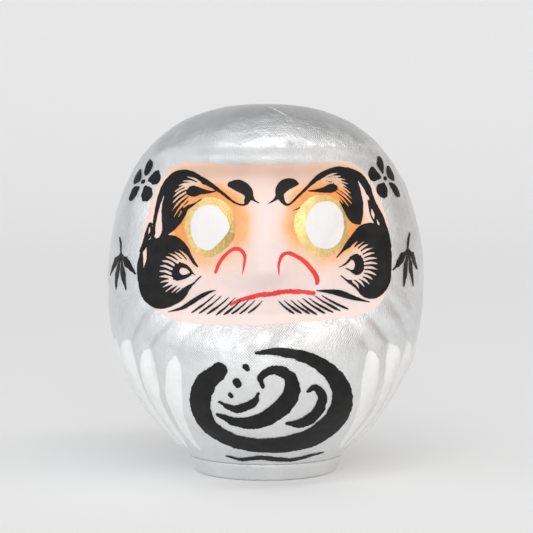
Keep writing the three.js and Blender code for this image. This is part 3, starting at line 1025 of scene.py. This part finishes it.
face_panel()
eye("left",
    ((-24.1, 129.6), (-18.9, 128.1), (-14.7, 124.2), (-12.8, 118.1), (-13.6, 112.4),
     (-17.4, 107.2), (-22.6, 104), (-27.8, 104), (-32, 107.2), (-34.6, 112.4),
     (-35.4, 117.1), (-34.1, 122.8), (-29.9, 127.8)),
    ((-24.1, 126.3), (-20.7, 125.2), (-17.6, 121.9), (-15.8, 118.6), (-16, 115.2),
     (-18.2, 112.1), (-20.7, 109.4), (-23.3, 107.2), (-25.9, 106.5), (-29.7, 108.2), (-32, 111.9),
     (-32.7, 116.6), (-31.7, 121.3), (-28.6, 125.2)), 1, gold_leaf("gold_leaf_left", 2.2))
eye("right",
    ((24.1, 130.4), (29.6, 129.2), (33.8, 125.3), (36.1, 120.1), (36.7, 114.8), (34.8, 109.1),
     (30.6, 104.9), (25.4, 103.6), (19.7, 105.4), (15.4, 109.6), (12.8, 115.4), (12.8, 121.1),
     (16, 126.3), (19.7, 129.5)),
    ((26.5, 127.7), (31, 126.2), (33.8, 122.2), (34.4, 117.2), (33.9, 112.8), (31, 108.6),
     (26.2, 107), (21.2, 109.1), (18.3, 113.3), (17.6, 118), (18.9, 122.7), (22, 126.6)),
    0.55, gold_leaf("gold_leaf_right", 2.6))
left_brow()
right_brow()
left_beard()
right_beard()
whiskers("left", [(-21.6, 89.1, 0.2), (-25.6, 87.7, 1.5), (-31, 84.4, 2), (-36.3, 81, 1.5),
                  (-42.8, 79, 0.2)],
         [(-21.6, 87.3), (-13.9, 86), (-1.5, 84.6)], [(-32.3, 79), (-21, 78.4), (-7.6, 79.2)], 1, 71)
whiskers("right", [(22.4, 88.9, 0.4), (27.9, 88.4, 1.8), (33.2, 87.3, 2.8), (38.6, 85.2, 2),
                   (46.2, 83.1, 0.2)],
         [(24.6, 86.9), (15, 85.4), (5.3, 85)], [(36.2, 80.3), (25, 78.7), (12.4, 79)],
         1.2, 73)
red_line("mouth", (-18, 80), (24, 92), 41, 1.4,
         (-15, 83, 1.5), (-10, 85.3, 1.8), (-4, 86.9, 2), (2, 87.9, 2.1), (8.5, 88.7, 2),
         (14.5, 88.7, 2), (21, 87.7, 1.8))
red_line("nostril_left", (-24, 94), (-6, 110), 42, 0.5,
         (-21.8, 97, 1.3), (-19.5, 102, 1.5), (-15.2, 106.6, 1.5), (-11.5, 107.3, 1.7),
         (-9, 104.8, 1.4), (-9.3, 100.5, 1), (-10, 96.3, 0.2))
red_line("nostril_right", (3, 89), (26, 109), 43, 0.5,
         (6, 96, 0.2), (5.8, 100.5, 1), (7.2, 104.6, 1.5), (10.5, 105.6, 1.6),
         (16.4, 102.3, 1.9), (21, 97.2, 2.1), (22.6, 93.8, 2), (22.5, 92, 1.6))
pleat_stripes("left", (((34.5, 35.5, 37.5, 40.5, 43, 44.5, 43), 4, 0.85),
                       ((48, 49, 51, 54, 55, 55.5, 57), 2, 1.0),
                       ((61.5, 63.5, 66.5, 67, 66.5, 64.5, 62), 0, 1.25),
                       ((75.5, 78, 80, 81, 80, 77, 73), 0, 0.85)), 81)
pleat_stripes("right", (((41, 42.5, 44, 46.5, 49, 51, 54), 2, 0.9),
                        ((52.5, 55.5, 58, 60, 61, 60, 58), 0, 0.9),
                        ((66.5, 69, 71, 72, 71, 69, 65), 0, 0.85),
                        ((79, 82, 84, 85, 84, 81, 77), 0, 0.7)), 82)
belly_motif()
blossom("left", -60, 135.5)
blossom("right", 59, 137)
bamboo("left", -64, 98)
bamboo("right", 63, 100)
lip_pips()
crown_thread()


# ------------------------ camera, floor and light

CAMERA_PLACE = (0.0005, -0.950, 0.176)
CAMERA_DIP_DEGREES = 4.889
CAMERA_LENS = 138.6
ROOM_AHEAD = 0.76
ROOM_BEHIND = 0.17


def add_camera():
    data = bpy.data.cameras.new("camera")
    data.sensor_width = 36
    data.lens = CAMERA_LENS
    camera = bpy.data.objects.new("camera", data)
    camera.location = CAMERA_PLACE
    camera.rotation_euler = (math.radians(90 - CAMERA_DIP_DEGREES), 0, 0)
    bpy.context.scene.collection.objects.link(camera)
    bpy.context.scene.camera = camera


def add_sweep():
    """A pale sheet that lies flat under the doll and curves up far behind it."""
    half_width, front, back, bend, top = 3.0, -3.0, 2.2, 0.8, 1.1
    outline = [(front, 0.0), (back - bend, 0.0)]
    for step in range(1, 17):
        turn = step / 16 * math.pi / 2
        outline.append((back - bend + bend * math.sin(turn), bend - bend * math.cos(turn)))
    outline.append((back, top))
    points = [(x, y, z) for y, z in outline for x in (-half_width, half_width)]
    faces = [(2 * i, 2 * i + 1, 2 * i + 3, 2 * i + 2) for i in range(len(outline) - 1)]
    material = new_material("sweep_paper", (0.62, 0.62, 0.62), 0.9)
    shader = shader_of(material)
    shader.inputs["Emission Color"].default_value = (1, 1, 1, 1)
    shader.inputs["Emission Strength"].default_value = 0.25
    sweep = make_object("sweep", np.array(points) / MM, faces, material)


def add_area(name, place, target, size, power):
    """A soft rectangular light at a place, turned to face a target, in metres and watts."""
    data = bpy.data.lights.new(name, "AREA")
    data.shape = "RECTANGLE"
    data.size, data.size_y = size
    data.energy = power
    light = bpy.data.objects.new(name, data)
    light.location = place
    light.rotation_euler = (Vector(target) - Vector(place)).to_track_quat("-Z", "Y").to_euler()
    bpy.context.scene.collection.objects.link(light)


def add_world():
    """A pale room, brighter in front of the doll and dimmer above and behind it."""
    world = bpy.data.worlds.new("room")
    world.use_nodes = True
    bpy.context.scene.world = world
    place = add_node(world, "ShaderNodeTexCoord").outputs["Generated"]
    apart = add_node(world, "ShaderNodeSeparateXYZ", [("Vector", place)])
    ahead = spread(world, apart.outputs["Y"], -0.1, 0.6, 1, 0)
    side = spread(world, apart.outputs["X"], -0.3, 1, 0, 1)
    tint = blend_colours(world, side, (1.10, 1.13, 1.17), (0.78, 0.70, 0.62))
    light = spread(world, ahead, 0, 1, ROOM_BEHIND, ROOM_AHEAD)
    background = world.node_tree.nodes["Background"]
    world.node_tree.links.new(tint, background.inputs["Color"])
    world.node_tree.links.new(light, background.inputs["Strength"])


add_camera()
add_sweep()
add_world()
add_area("front_box", (0, -3.2, 1.2), (0, 0, 0.1), (3.2, 2.0), 25)
add_area("top_box", (0.3, -0.68, 1.5), (0, 0, 0.1), (2.3, 0.3), 8)
bpy.context.scene.view_settings.view_transform = "Standard"
